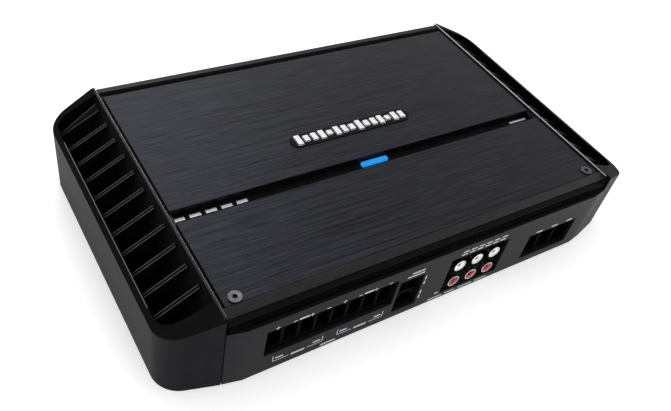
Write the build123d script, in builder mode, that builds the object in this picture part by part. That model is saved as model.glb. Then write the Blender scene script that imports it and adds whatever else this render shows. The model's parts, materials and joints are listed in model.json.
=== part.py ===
from build123d import *

import os

# A four-channel car amplifier.  X runs along the length, -Y is the connector side and +Z is up.
# The origin is on the mounting face, under the middle of the case.  All sizes are in millimetres.

# ---------------------------------------------------------------- driving dimensions
overall_length = 327.0            # over the two end caps
overall_depth = 193.4             # connector panel face to rear panel face
case_height = 54.0                # mounting face to the tops of the deck's lips

end_cap_width = 29.5              # each end cap; the deck and both panels lie between them
lip_width = 1.6
lip_proud = 1.0                   # how far the lips stand above the top plates
plate_thickness = 2.0
plate_end_gap = 1.6               # open line between a plate's end and the lip
cover_front_inset = 11.0          # panel face back to the cover's front seam
cover_depth = 59.2
groove_width = 8.7
groove_drop = 3.0                 # groove floor below the seats of the plates
rear_gap = 4.2
rear_strip_inset = 2.5            # rear panel face in to the strip's crease
rear_strip_width = 4.7
deck_slab = 6.0                   # slab under the plate seats
side_wall = 4.0
seam_gap = 0.2                    # open seam between outer castings

panel_top_drop = 9.9              # tops of the lips down to the tops of the panels
panel_lift = 0.4                  # panels start this far above the mounting face
panel_wall = 2.5
panel_facet_length = 10.7
panel_facet_back = 2.2
seat_inset = 4.7                  # panel face in to the plane that the side walls end on

sheet = 1.5                       # bottom cover
sheet_lift = 0.8
running_gap = 0.05                # a shaft in its bearing, or a screw in its hole, on the radius
fit_gap = 0.2                     # between a loose piece and its seat

# end caps
cap_wall = 3.3
cap_corner_radius = 16.0
cap_rim_drop = 12.2               # lip down to the outer edge of the sloping rim
cap_face_back = 8.2               # how far the front face falls back towards the corner
cap_floor = 3.0
cap_front_land = 14.0             # front end of the cap, seam to pocket
cap_rear_wall = 5.8
fin_count = 11
fin_rear_inset = 19.7             # rear panel face in to the rearmost fin
fin_front_inset = 29.3            # connector panel face in to the foremost fin
fin_thickness = 2.4
fin_inset = (1.6, 6.0)            # fin tops below the rim's slope, at the deck and at the outer wall
root_slope_width = 9.5            # how far the root wall runs out from the lip
root_slope_drop = 20.6
root_wall = 4.0

# mounting holes
mount_hole = 5.0
mount_pad = 12.0
mount_pad_rise = 2.0
mount_inset = 11.5                # end of the case in to the hole
mount_front_gap = 6.6             # foremost fin to the front holes

# main board
board_thickness = 1.6
board_z = 4.0
board_side_gap = 3.0              # side wall to the board's edge
board_front_inset = 6.7
board_rear_inset = 15.7
board_notch_x = 10.0
board_notch_y = 13.0
standoff_across = 6.0
standoff_inset = (17.0, 9.0)      # board's edge in to the outer standoffs

# screws
m3_radius = 1.5
m3_head_radius = 2.75
m3_head_height = 1.6
m4_radius = 2.0
m4_head_radius = 3.5
m4_head_height = 2.4

# speaker terminals
speaker_count = 8
speaker_pitch = 9.9
speaker_share = -0.535            # places along the deck, as shares of its half length
speaker_opening = (81.0, 20.9)
speaker_opening_z = 25.4
speaker_cell = (7.9, 13.0)
speaker_clamp = (7.3, 11.0)
speaker_wire_hole = 4.6
speaker_screw_radius = 2.4
speaker_block_top = 39.0

# power terminals
power_count = 3
power_pitch = 13.4
power_share = 0.697
power_opening = (41.4, 21.1)
power_opening_z = 16.8
power_cell = (11.6, 15.0)
power_clamp = (11.0, 13.0)
power_wire_hole = 8.0
power_screw_radius = 3.0
power_block_top = 31.0

terminal_front_rise = 6.7         # front of a clamp behind the front of its block
terminal_block_depth = 21.0
clamp_y_back = 2.5                # block left behind the clamps
window_margin = 1.0               # deck windows over the clamp screws, round each screw
trench_margin = 0.6               # the same, for the trench in the top of a block
screw_web = 1.0                   # left between a trench and the clamp seats under it
wire_drop = 0.8                   # wire bore below the middle of its clamp

# signal sockets
rca_columns = 3
rca_pitch = (13.5, 14.2)
rca_share = 0.221
rca_centre_z = 18.8
rca_opening = (44.8, 29.4)
rca_opening_z = 19.9
rca_shell_radius = 4.15
rca_shell_wall = 0.5
rca_relief = 0.9                  # ring left free round the foot of each shell
rca_reach = 9.5
rca_contact_radius = 1.65
rca_contact_hole = 1.2
rca_block_depth = 11.0
jack_opening = (16.8, 26.6)
jack_share = -0.1537
jack_opening_z = 19.2

# controls under the cover
control_pitch = 14.0
control_inset = 32.7              # cover's front seam back to the row of controls
well_size = (116.0, 26.0)
well_ledge = 3.0
well_wall = 4.0
well_depth = 12.0                 # cover's underside down to the bottom of the tub
control_plate_thickness = 1.0
knob_radius = 4.5
knob_height = 6.4
knob_shaft_radius = 2.5
pot_size = (11.0, 11.0, 5.0)
switch_size = (13.0, 7.0, 5.0)
lever_width = 2.5
lever_travel = 3.0
control_board_drop = 21.0         # seats of the plates down to the control board

# light
light_length = 18.7
light_width = 3.2
light_rise = 1.6

# badge on the rear plate
badge_size = (88.0, 11.0)
badge_y = 8.0
badge_plate_thickness = 0.6
badge_rise = 1.0
badge_bars = 15
badge_bar_width = 3.4

# power stage
wall_transistors = 8
transistor_pitch = 17.0
transistor_body = (4.5, 10.2, 15.5)
transistor_lift = 6.4
pad_thickness = 0.3
clamp_bar = (2.0, 8.0)

# ---------------------------------------------------------------- derived planes and sizes
half_length = overall_length / 2
half_depth = overall_depth / 2
deck_half = half_length - end_cap_width
lip_inner = deck_half - lip_width
plate_half = lip_inner - plate_end_gap
plate_top = case_height - lip_proud
seat_z = plate_top - plate_thickness
deck_under = seat_z - deck_slab
cover_front_y = -half_depth + cover_front_inset
cover_rear_y = cover_front_y + cover_depth
rear_plate_front_y = cover_rear_y + groove_width
strip_rear_y = half_depth - rear_strip_inset
strip_front_y = strip_rear_y - rear_strip_width
rear_plate_rear_y = strip_front_y - rear_gap
seat_y = half_depth - seat_inset
wall_inner = deck_half - side_wall
cap_inner = deck_half + seam_gap
panel_half = deck_half - seam_gap - 0.1
panel_top = case_height - panel_top_drop
panel_height = panel_top - panel_lift
sheet_top = sheet_lift + sheet
board_top = board_z + board_thickness
block_front = -half_depth + panel_wall
clamp_front = block_front + terminal_front_rise
clamp_rear = block_front + terminal_block_depth - clamp_y_back
clamp_mid_y = (clamp_front + clamp_rear) / 2
board_half_x = wall_inner - board_side_gap
board_front_y = -half_depth + board_front_inset
board_rear_y = half_depth - board_rear_inset
control_y = cover_front_y + control_inset
control_board_z = seat_z - control_board_drop
fin_first_y = half_depth - fin_rear_inset
fin_last_y = -half_depth + fin_front_inset
fin_pitch = (fin_first_y - fin_last_y) / (fin_count - 1)
mount_x = half_length - mount_inset
mount_front_y = fin_last_y - mount_front_gap
mount_rear_y = fin_first_y - fin_pitch / 2
speaker_x = deck_half * speaker_share
power_x = deck_half * power_share
rca_x = deck_half * rca_share
jack_x = deck_half * jack_share
rim_slope = cap_rim_drop / (half_length - deck_half)


def rim_height(x):
    """Height of the end cap's sloping rim at a distance x from the middle."""
    return case_height - (x - deck_half) * rim_slope


def finish(part, name):
    """Labels a finished piece and writes it."""
    part.label = name
    export_step(part, f"parts/{name}.step")


os.makedirs("parts", exist_ok=True)

speaker_xs = [speaker_x + (i - (speaker_count - 1) / 2) * speaker_pitch for i in range(speaker_count)]
power_xs = [power_x + (i - (power_count - 1) / 2) * power_pitch for i in range(power_count)]
transistor_ys = [(i - (wall_transistors - 1) / 2) * transistor_pitch for i in range(wall_transistors)]
clamp_screw_ys = [-3 * transistor_pitch, -transistor_pitch, transistor_pitch, 3 * transistor_pitch]
cap_screw_ys = [seat_y * share for share in (-0.717, -0.239, 0.239, 0.717)]
cap_screw_z = case_height - 16.5
clamp_screw_z = board_top + transistor_body[2] - 0.1
post_radius = 4.5
post_x = wall_inner - 6.0
post_front_y = -seat_y + 8.0
post_rear_y = seat_y - 6.0
post_places = [(-post_x, post_front_y), (post_x, post_front_y), (-post_x, post_rear_y), (post_x, post_rear_y)]
post_places += [(-post_x / 3, post_rear_y), (post_x / 3, post_rear_y)]
standoff_x = board_half_x - standoff_inset[0]
standoff_rear_y = board_rear_y - standoff_inset[1]
standoff_front_y = board_front_y + 24.0
standoff_places = [(-standoff_x, standoff_rear_y), (0.0, standoff_rear_y), (standoff_x, standoff_rear_y)]
standoff_places += [(-standoff_x, standoff_front_y), (standoff_x, standoff_front_y), (-32.0, -20.0)]
cover_screw_places = [(-plate_half + 6.9, cover_front_y + 4.1), (plate_half - 6.9, cover_front_y + 4.1)]

# ---------------------------------------------------------------- heat sink deck
nose_front = 5.2                  # seam to the front of the nose
nose_drop = 1.8
strip_step = 0.8
strip_reach = 2.4
tooth_count = 3
tooth_height = 0.55
tooth_pitch = 1.15
groove_floor = seat_z - groove_drop

nose_y = cover_front_y - nose_front
nose_z = plate_top - nose_drop
strip_y = nose_y - strip_reach
strip_z = nose_z - strip_reach
recess_top = strip_z - strip_step

deck_outline = [
    (cover_front_y, seat_z),
    (cover_front_y, plate_top),
    (cover_front_y - 1.3, plate_top),
    (nose_y, nose_z),
    (nose_y + strip_step, nose_z - strip_step),
    (strip_y, strip_z),
    (strip_y, recess_top),
    (nose_y + 0.6, recess_top),
]
for i in range(tooth_count):
    tooth_z = recess_top - 0.6 - i * tooth_pitch
    tooth_tip = nose_y - 1.3 - 0.9 * i
    tooth_root = nose_y + 0.6 - 0.7 * i
    deck_outline += [
        (tooth_root, tooth_z),
        (tooth_tip, tooth_z),
        (tooth_tip, tooth_z - tooth_height),
        (tooth_root - 0.7, tooth_z - tooth_height),
    ]
deck_outline += [
    (nose_y - 1.5, panel_top + 0.1),
    (nose_y + 2.0, panel_top + 0.1),
    (nose_y + 2.0, deck_under),
    (strip_front_y - 1.0, deck_under),
    (strip_front_y - 1.0, panel_top + 0.1),
    (strip_rear_y, panel_top + 0.1),
    (strip_rear_y, plate_top - 0.9),
    (strip_rear_y - 0.9, plate_top),
    (strip_front_y, plate_top),
    (strip_front_y, groove_floor),
    (rear_plate_rear_y, groove_floor),
    (rear_plate_rear_y, seat_z),
    (rear_plate_front_y, seat_z),
    (rear_plate_front_y, groove_floor),
    (cover_rear_y, groove_floor),
    (cover_rear_y, seat_z),
]

tub_half_x = well_size[0] / 2 + well_wall
tub_half_y = well_size[1] / 2 + well_wall
tub_bottom = seat_z - well_depth + 1.0
ledge_z = tub_bottom + 2.0
light_y = rear_plate_front_y - 0.4 - light_width / 2 - fit_gap
light_post_places = [(-16.0, light_y), (16.0, light_y)]
light_board_top = deck_under - 4.0

with BuildPart() as heat_sink:
    with BuildSketch(Plane.YZ):
        with BuildLine():
            Polyline(*deck_outline, close=True)
        make_face()
    extrude(amount=lip_inner, both=True)
    # the raised lips, with the side walls under them
    for side in (-1, 1):
        with BuildSketch(Plane.XZ.offset(-strip_rear_y)):
            with BuildLine():
                Polyline(
                    (side * lip_inner, deck_under),
                    (side * lip_inner, case_height - 0.3),
                    (side * (lip_inner + 0.3), case_height),
                    (side * (deck_half - 0.3), case_height),
                    (side * deck_half, case_height - 0.3),
                    (side * deck_half, deck_under),
                    close=True,
                )
            make_face()
        extrude(amount=strip_rear_y - nose_y)
        with BuildSketch(Plane.XY.offset(sheet_top)):
            with Locations((side * (deck_half - side_wall / 2), 0)):
                Rectangle(side_wall, 2 * seat_y)
        extrude(amount=case_height - 3.0 - sheet_top)
    # posts for the bottom cover's screws
    with BuildSketch(Plane.XY.offset(sheet_top)):
        with Locations(*post_places):
            Circle(post_radius)
    extrude(amount=deck_under + 1.0 - sheet_top)
    # tub round the control well, with posts for the control board
    with BuildSketch(Plane.XY.offset(tub_bottom)):
        with Locations((0, control_y)):
            Rectangle(2 * tub_half_x, 2 * tub_half_y)
    extrude(amount=deck_under + 1.0 - tub_bottom)
    with BuildSketch(Plane.XY.offset(control_board_z + board_thickness)):
        with Locations((0, control_y)):
            with GridLocations(2 * tub_half_x - 10.0, 2 * tub_half_y - 9.0, 2, 2):
                Circle(3.0)
    extrude(amount=tub_bottom + 1.0 - control_board_z - board_thickness)
    with BuildSketch(Plane.XY.offset(light_board_top)):
        with Locations(*light_post_places):
            Circle(2.5)
    extrude(amount=deck_under + 1.0 - light_board_top)
    # the well, stepped for the control plate
    with BuildSketch(Plane.XY.offset(ledge_z)):
        with Locations((0, control_y)):
            RectangleRounded(*well_size, 1.5)
    extrude(amount=seat_z - ledge_z, mode=Mode.SUBTRACT)
    with BuildSketch(Plane.XY.offset(tub_bottom)):
        with Locations((0, control_y)):
            Rectangle(well_size[0] - 2 * well_ledge, well_size[1] - 2 * well_ledge)
    extrude(amount=ledge_z - tub_bottom, mode=Mode.SUBTRACT)
    # windows over the clamp screws, slot for the light pipe
    with BuildSketch(Plane.XY.offset(deck_under - 1.0)):
        with Locations((speaker_x, clamp_mid_y)):
            Rectangle(speaker_pitch * speaker_count, 2 * (speaker_screw_radius + window_margin))
        with Locations((power_x, clamp_mid_y)):
            Rectangle(power_pitch * power_count, 2 * (power_screw_radius + window_margin))
        with Locations((0, light_y)):
            Rectangle(light_length + 2 * fit_gap, light_width + 2 * fit_gap)
    extrude(amount=case_height, mode=Mode.SUBTRACT)
    # tapped holes
    with BuildSketch(Plane.XY.offset(sheet_top)):
        with Locations(*post_places):
            Circle(m3_radius + running_gap)
    extrude(amount=10.0, mode=Mode.SUBTRACT)
    with BuildSketch(Plane.XY.offset(control_board_z + board_thickness)):
        with Locations((0, control_y)):
            with GridLocations(2 * tub_half_x - 10.0, 2 * tub_half_y - 9.0, 2, 2):
                Circle(m3_radius + running_gap)
    extrude(amount=6.0, mode=Mode.SUBTRACT)
    with BuildSketch(Plane.XY.offset(deck_under - 1.0)):
        with Locations(*cover_screw_places):
            Circle(m4_radius + running_gap)
    extrude(amount=deck_slab + 1.0, mode=Mode.SUBTRACT)
    for side in (-1, 1):
        with BuildSketch(Plane.YZ.offset(side * (wall_inner - 1.0))):
            with Locations(*[(y, cap_screw_z) for y in cap_screw_ys]):
                Circle(m4_radius + 0.15)
            with Locations(*[(y, clamp_screw_z) for y in clamp_screw_ys]):
                Circle(m3_radius + running_gap)
        extrude(amount=side * (side_wall + 2.0), mode=Mode.SUBTRACT)
finish(heat_sink.part, "heat_sink")

# ---------------------------------------------------------------- top plates
with BuildPart() as rear_plate:
    with BuildSketch(Plane.XY.offset(seat_z)):
        with Locations((0, (rear_plate_front_y + rear_plate_rear_y) / 2)):
            Rectangle(2 * plate_half, rear_plate_rear_y - rear_plate_front_y)
    extrude(amount=plate_thickness)
    chamfer(rear_plate.faces().sort_by(Axis.Z)[-1].edges(), 0.3)
finish(rear_plate.part, "rear_plate")

with BuildPart() as control_cover:
    with BuildSketch(Plane.XY.offset(seat_z)):
        with Locations((0, (cover_front_y + fit_gap + cover_rear_y) / 2)):
            Rectangle(2 * plate_half, cover_rear_y - cover_front_y - fit_gap)
    extrude(amount=plate_thickness)
    chamfer(control_cover.faces().sort_by(Axis.Z)[-1].edges(), 0.3)
    with BuildSketch(Plane.XY.offset(seat_z)):
        with Locations(*cover_screw_places):
            Circle(m4_radius + running_gap)
    extrude(amount=plate_thickness, mode=Mode.SUBTRACT)
finish(control_cover.part, "control_cover")

# low button heads with a hexagon socket, held in the cover when it lifts
with BuildPart() as cover_screws:
    with BuildSketch(Plane.XY.offset(plate_top)):
        with Locations(*cover_screw_places):
            Circle(m4_head_radius + 0.1)
    extrude(amount=0.9)
    chamfer(cover_screws.faces().sort_by(Axis.Z)[-1].edges(), 0.3)
    chamfer(cover_screws.faces().sort_by(Axis.Z)[-2].edges(), 0.3)
    with BuildSketch(Plane.XY.offset(deck_under)):
        with Locations(*cover_screw_places):
            Circle(m4_radius)
    extrude(amount=plate_top - deck_under)
    with BuildSketch(Plane.XY.offset(plate_top - 1.2)):
        with Locations(*cover_screw_places):
            RegularPolygon(1.45, 6)
    extrude(amount=3.0, mode=Mode.SUBTRACT)
finish(cover_screws.part, "cover_screws")

# a plain raised emblem: a row of bars whose heights rise and fall, on one thin backing
with BuildPart() as badge:
    with BuildSketch(Plane.XY.offset(plate_top)):
        with Locations((0, badge_y)):
            SlotOverall(badge_size[0], badge_size[1])
    extrude(amount=badge_plate_thickness)
    with BuildSketch(Plane.XY.offset(plate_top + badge_plate_thickness)):
        for i in range(badge_bars):
            bar_x = (i - (badge_bars - 1) / 2) * (badge_size[0] - badge_size[1]) / (badge_bars - 1)
            bar_height = badge_size[1] * (0.34 + 0.4 * abs((i * 5) % 8 - 4) / 4)
            with Locations((bar_x, badge_y)):
                Rectangle(badge_bar_width, bar_height)
    extrude(amount=badge_rise)
finish(badge.part, "badge")

# ---------------------------------------------------------------- light pipe and its board
with BuildPart() as light_pipe:
    with BuildSketch(Plane.XY.offset(deck_under - 1.0)):
        with Locations((0, light_y)):
            RectangleRounded(light_length, light_width, 0.6)
    extrude(amount=groove_floor + light_rise - deck_under + 1.0)
    fillet(light_pipe.faces().sort_by(Axis.Z)[-1].edges(), 0.5)
    with BuildSketch(Plane.XY.offset(deck_under - 1.5)):
        with Locations((0, light_y)):
            Rectangle(light_length + 5.0, light_width + 3.0)
    extrude(amount=1.5)
finish(light_pipe.part, "light_pipe")

with BuildPart() as light_board:
    with BuildSketch(Plane.XY.offset(light_board_top - 1.0)):
        with Locations((0, light_y)):
            RectangleRounded(40.0, 9.0, 1.0)
    extrude(amount=1.0)
    with BuildSketch(Plane.XY.offset(light_board_top)):
        with Locations((0, light_y)):
            with GridLocations(6.0, 1.0, 3, 1):
                Rectangle(3.0, 2.6)
    extrude(amount=1.5)
    with BuildSketch(Plane.XY.offset(light_board_top - 1.0)):
        with Locations(*light_post_places):
            Circle(1.0)
    extrude(amount=1.0, mode=Mode.SUBTRACT)
finish(light_board.part, "light_board")

# ---------------------------------------------------------------- end caps
cap_front_y = half_depth - rear_strip_inset
cap_corner_y = cap_front_y - cap_face_back
pocket_outer = half_length - cap_wall
pocket_front_y = -cap_front_y + cap_front_land
pocket_rear_y = cap_front_y - cap_rear_wall
pocket_corner_radius = 9.0
root_out = cap_inner + root_slope_width
root_bend_z = case_height - 0.6 - root_slope_drop
fin_in = deck_half + 2.0
fin_ys = [fin_first_y - i * fin_pitch for i in range(fin_count)]


def fin_top(x):
    """Height of the fins' sloping tops at a distance x from the middle."""
    share = (x - deck_half) / (pocket_outer - deck_half)
    return rim_height(x) - fin_inset[0] - share * (fin_inset[1] - fin_inset[0])


with BuildPart() as fin_gusset:
    with BuildSketch(Plane.XY.offset(1.0)):
        with BuildLine():
            Polyline(
                (fin_in, fin_ys[0]),
                (fin_in, fin_ys[0] + 5.5),
                (pocket_outer - 2.0, fin_ys[0] + fin_thickness / 2),
                (pocket_outer - 2.0, fin_ys[0]),
                close=True,
            )
        make_face()
    extrude(amount=case_height)
    with BuildSketch(Plane.XZ.offset(-overall_depth)):
        with BuildLine():
            Polyline(
                (deck_half, fin_top(deck_half)),
                (half_length, fin_top(half_length)),
                (half_length, case_height + 2.0),
                (deck_half, case_height + 2.0),
                close=True,
            )
        make_face()
    extrude(amount=2 * overall_depth, mode=Mode.SUBTRACT)

with BuildPart() as end_cap_right:
    with BuildSketch():
        with BuildLine():
            Polyline(
                (cap_inner, -cap_front_y),
                (half_length, -cap_corner_y),
                (half_length, cap_corner_y),
                (cap_inner, cap_front_y),
                close=True,
            )
        make_face()
        fillet(vertices().group_by(Axis.X)[-1], cap_corner_radius)
    extrude(amount=case_height)
    # pocket between the outer wall and the deck
    with BuildSketch(Plane.XY.offset(cap_floor)):
        with BuildLine():
            Polyline(
                (cap_inner - 1.0, pocket_front_y),
                (half_length - cap_corner_radius, pocket_front_y),
                (pocket_outer, pocket_front_y + 2.0),
                (pocket_outer, cap_corner_y - 2.5),
                (cap_inner - 1.0, pocket_rear_y),
                close=True,
            )
        make_face()
        fillet(vertices().group_by(Axis.X)[-1], pocket_corner_radius)
    extrude(amount=case_height, mode=Mode.SUBTRACT)
    # core taken out of the solid front end, from below
    with BuildSketch():
        with BuildLine():
            Polyline(
                (cap_inner + 4.0, -cap_front_y + 4.5),
                (cap_inner + 17.0, -cap_front_y + 8.0),
                (cap_inner + 17.0, pocket_front_y - 3.0),
                (cap_inner + 4.0, pocket_front_y - 3.0),
                close=True,
            )
        make_face()
    extrude(amount=rim_height(cap_inner + 17.0) - 5.0, mode=Mode.SUBTRACT)
    # root wall, sloping away under the lip
    with BuildSketch(Plane.XZ.offset(-pocket_rear_y - 1.0)):
        with BuildLine():
            Polyline(
                (cap_inner, case_height - 0.6),
                (root_out, root_bend_z),
                (root_out, 0),
                (root_out - root_wall, 0),
                (root_out - root_wall, root_bend_z - 2.0),
                (cap_inner, root_bend_z + 10.0),
                close=True,
            )
        make_face()
    extrude(amount=pocket_rear_y - pocket_front_y + 2.0)
    # fins
    for y in fin_ys:
        with BuildSketch(Plane.XZ.offset(-y - fin_thickness / 2)):
            with BuildLine():
                Polyline(
                    (fin_in, 1.0),
                    (fin_in, fin_top(fin_in)),
                    (pocket_outer + 1.0, fin_top(pocket_outer + 1.0)),
                    (pocket_outer + 1.0, 1.0),
                    close=True,
                )
            make_face()
        extrude(amount=fin_thickness)
    # gusset that widens the rearmost fin towards the lip
    add(fin_gusset.part)
    # pads round the mounting holes
    with BuildSketch(Plane.XY.offset(1.0)):
        with Locations((mount_x, mount_front_y), (mount_x, mount_rear_y)):
            Circle(mount_pad / 2)
    extrude(amount=cap_floor - 1.0 + mount_pad_rise)
    # bosses for the screws that hold the cap to the deck
    with BuildSketch(Plane.YZ.offset(deck_half)):
        with Locations(*[(y, cap_screw_z) for y in cap_screw_ys]):
            Circle(4.5)
    extrude(amount=4.6)
    # the sloping rim
    with BuildSketch(Plane.XZ.offset(-overall_depth)):
        with BuildLine():
            Polyline(
                (deck_half, case_height),
                (half_length + 1.0, rim_height(half_length + 1.0)),
                (half_length + 1.0, case_height + 1.0),
                (deck_half, case_height + 1.0),
                close=True,
            )
        make_face()
    extrude(amount=2 * overall_depth, mode=Mode.SUBTRACT)
    # tapped and clearance holes
    with BuildSketch(Plane.YZ.offset(deck_half)):
        with Locations(*[(y, cap_screw_z) for y in cap_screw_ys]):
            Circle(m4_radius + running_gap)
    extrude(amount=4.0, mode=Mode.SUBTRACT)
    with BuildSketch():
        with Locations((mount_x, mount_front_y), (mount_x, mount_rear_y)):
            Circle(mount_hole / 2)
    extrude(amount=case_height, mode=Mode.SUBTRACT)
finish(end_cap_right.part, "end_cap_right")

with BuildPart() as end_cap_left:
    add(end_cap_right.part)
    mirror(about=Plane.YZ, mode=Mode.REPLACE)
finish(end_cap_left.part, "end_cap_left")

with BuildPart() as end_cap_screws:
    for side in (-1, 1):
        with BuildSketch(Plane.YZ.offset(side * (wall_inner - m4_head_height))):
            with Locations(*[(y, cap_screw_z) for y in cap_screw_ys]):
                Circle(m4_head_radius)
        extrude(amount=side * m4_head_height)
        with BuildSketch(Plane.YZ.offset(side * wall_inner)):
            with Locations(*[(y, cap_screw_z) for y in cap_screw_ys]):
                Circle(m4_radius)
        extrude(amount=side * (side_wall + 3.8))
        with BuildSketch(Plane.YZ.offset(side * (wall_inner - m4_head_height))):
            with Locations(*[(y, cap_screw_z) for y in cap_screw_ys]):
                RegularPolygon(1.45, 6)
        extrude(amount=side * 1.4, mode=Mode.SUBTRACT)
finish(end_cap_screws.part, "end_cap_screws")

# ---------------------------------------------------------------- front and rear panels
facet_x = panel_half - panel_facet_length
inner_x = facet_x - 1.5
panel_plan = [
    (-panel_half, -half_depth + panel_facet_back),
    (-facet_x, -half_depth),
    (facet_x, -half_depth),
    (panel_half, -half_depth + panel_facet_back),
    (panel_half, -seat_y),
    (inner_x, -seat_y),
    (inner_x, -half_depth + panel_wall),
    (-inner_x, -half_depth + panel_wall),
    (-inner_x, -seat_y),
    (-panel_half, -seat_y),
]
panel_openings = [
    (speaker_x, speaker_opening_z, speaker_opening),
    (jack_x, jack_opening_z, jack_opening),
    (rca_x, rca_opening_z, rca_opening),
    (power_x, power_opening_z, power_opening),
]

with BuildPart() as connector_panel:
    with BuildSketch(Plane.XY.offset(panel_lift)):
        with BuildLine():
            Polyline(*panel_plan, close=True)
        make_face()
    extrude(amount=panel_height)
    with BuildSketch(Plane.XZ.offset(half_depth - panel_wall - 1.0)):
        for x, z, size in panel_openings:
            with Locations((x, z)):
                Rectangle(*size)
    extrude(amount=panel_wall + 2.0, mode=Mode.SUBTRACT)
finish(connector_panel.part, "connector_panel")

with BuildPart() as rear_panel:
    with BuildSketch(Plane.XY.offset(panel_lift)):
        with BuildLine():
            Polyline(*[(x, -y) for x, y in panel_plan], close=True)
        make_face()
    extrude(amount=panel_height)
finish(rear_panel.part, "rear_panel")

# ---------------------------------------------------------------- bottom cover
with BuildPart() as bottom_cover:
    with BuildSketch(Plane.XY.offset(sheet_lift)):
        Rectangle(2 * panel_half, 2 * seat_y)
        Rectangle(2 * (inner_x - fit_gap), 2 * (half_depth - panel_wall))
    extrude(amount=sheet)
    with BuildSketch(Plane.XY.offset(sheet_lift)):
        with Locations(*post_places):
            Circle(m3_radius + running_gap)
        with Locations((0, 20.0)):
            with GridLocations(9.0, 50.0, 12, 2):
                SlotOverall(30.0, 3.0, rotation=90)
    extrude(amount=sheet, mode=Mode.SUBTRACT)
    with Locations(*[Location((x, y, sheet_lift)) for x, y in post_places]):
        Cone(3.05, m3_radius + running_gap, sheet, align=(Align.CENTER, Align.CENTER, Align.MIN),
             mode=Mode.SUBTRACT)
finish(bottom_cover.part, "bottom_cover")

with BuildPart() as bottom_screws:
    with Locations(*[Location((x, y, sheet_lift)) for x, y in post_places]):
        Cone(3.0, m3_radius, sheet, align=(Align.CENTER, Align.CENTER, Align.MIN))
        Cylinder(m3_radius, sheet + 8.0, align=(Align.CENTER, Align.CENTER, Align.MIN))
    with BuildSketch(Plane.XY.offset(sheet_lift)):
        with Locations(*post_places):
            Rectangle(2.6, 0.6)
            Rectangle(0.6, 2.6)
    extrude(amount=0.8, mode=Mode.SUBTRACT)
finish(bottom_screws.part, "bottom_screws")

# ---------------------------------------------------------------- main board and its supports
with BuildPart() as main_board:
    with BuildSketch(Plane.XY.offset(board_z)):
        with Locations((0, (board_front_y + board_rear_y) / 2)):
            Rectangle(2 * board_half_x, board_rear_y - board_front_y)
        for side in (-1, 1):
            with Locations((side * board_half_x, board_front_y)):
                Rectangle(2 * board_notch_x, 2 * board_notch_y, mode=Mode.SUBTRACT)
        with Locations(*standoff_places):
            Circle(m3_radius + 0.1, mode=Mode.SUBTRACT)
    extrude(amount=board_thickness)
finish(main_board.part, "main_board")

with BuildPart() as board_standoffs:
    with BuildSketch(Plane.XY.offset(board_top)):
        with Locations(*standoff_places):
            RegularPolygon(standoff_across / 2, 6, major_radius=False)
    extrude(amount=deck_under - board_top)
    with BuildSketch(Plane.XY.offset(board_top)):
        with Locations(*standoff_places):
            Circle(m3_radius + running_gap)
    extrude(amount=8.0, mode=Mode.SUBTRACT)
finish(board_standoffs.part, "board_standoffs")

with BuildPart() as board_screws:
    with BuildSketch(Plane.XY.offset(board_z - m3_head_height)):
        with Locations(*standoff_places):
            Circle(m3_head_radius)
    extrude(amount=m3_head_height)
    with BuildSketch(Plane.XY.offset(board_z)):
        with Locations(*standoff_places):
            Circle(m3_radius)
    extrude(amount=board_thickness + 7.0)
finish(board_screws.part, "board_screws")


# ---------------------------------------------------------------- clamp terminals
def terminal_block(xs, pitch, cell, clamp, screw_radius, block_top, cell_z):
    """A moulded block: a port for each wire, a seat for each clamp, and one trench over the screws."""
    width = pitch * len(xs) + 4.0
    middle = sum(xs) / len(xs)
    with BuildPart() as block:
        with BuildSketch(Plane.XY.offset(board_top)):
            with Locations((middle, block_front + terminal_block_depth / 2)):
                Rectangle(width, terminal_block_depth)
        extrude(amount=block_top - board_top)
        with BuildSketch(Plane.XZ.offset(-block_front)):
            with Locations(*[(x, cell_z) for x in xs]):
                Rectangle(*cell)
        extrude(amount=-terminal_front_rise, mode=Mode.SUBTRACT)
        with BuildSketch(Plane.XZ.offset(-clamp_front)):
            with Locations(*[(x, cell_z) for x in xs]):
                Rectangle(clamp[0] + fit_gap, clamp[1] + fit_gap)
        extrude(amount=clamp_front - clamp_rear - fit_gap, mode=Mode.SUBTRACT)
        with BuildSketch(Plane.XY.offset(cell_z)):
            with Locations(*[(x, clamp_mid_y) for x in xs]):
                Circle(screw_radius + trench_margin)
        extrude(amount=block_top, mode=Mode.SUBTRACT)
        with BuildSketch(Plane.XY.offset(cell_z + clamp[1] / 2 + screw_web)):
            with Locations((middle, clamp_mid_y)):
                Rectangle(pitch * len(xs), 2 * (screw_radius + trench_margin))
        extrude(amount=block_top, mode=Mode.SUBTRACT)
    return block.part


def terminal_clamps(xs, clamp, wire_hole, screw_radius, cell_z):
    """Plated clamp blocks, each with a wire bore from the front and a tapped hole from above."""
    with BuildPart() as clamps:
        with BuildSketch(Plane.XY.offset(cell_z - clamp[1] / 2 - fit_gap / 2)):
            with Locations(*[(x, clamp_mid_y) for x in xs]):
                Rectangle(clamp[0], clamp_rear - clamp_front)
        extrude(amount=clamp[1])
        with BuildSketch(Plane.XZ.offset(-clamp_front + 1.0)):
            with Locations(*[(x, cell_z - wire_drop) for x in xs]):
                Circle(wire_hole / 2)
        extrude(amount=clamp_front - clamp_rear, mode=Mode.SUBTRACT)
        with BuildSketch(Plane.XY.offset(cell_z)):
            with Locations(*[(x, clamp_mid_y) for x in xs]):
                Circle(screw_radius + running_gap)
        extrude(amount=clamp[1], mode=Mode.SUBTRACT)
    return clamps.part


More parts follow.
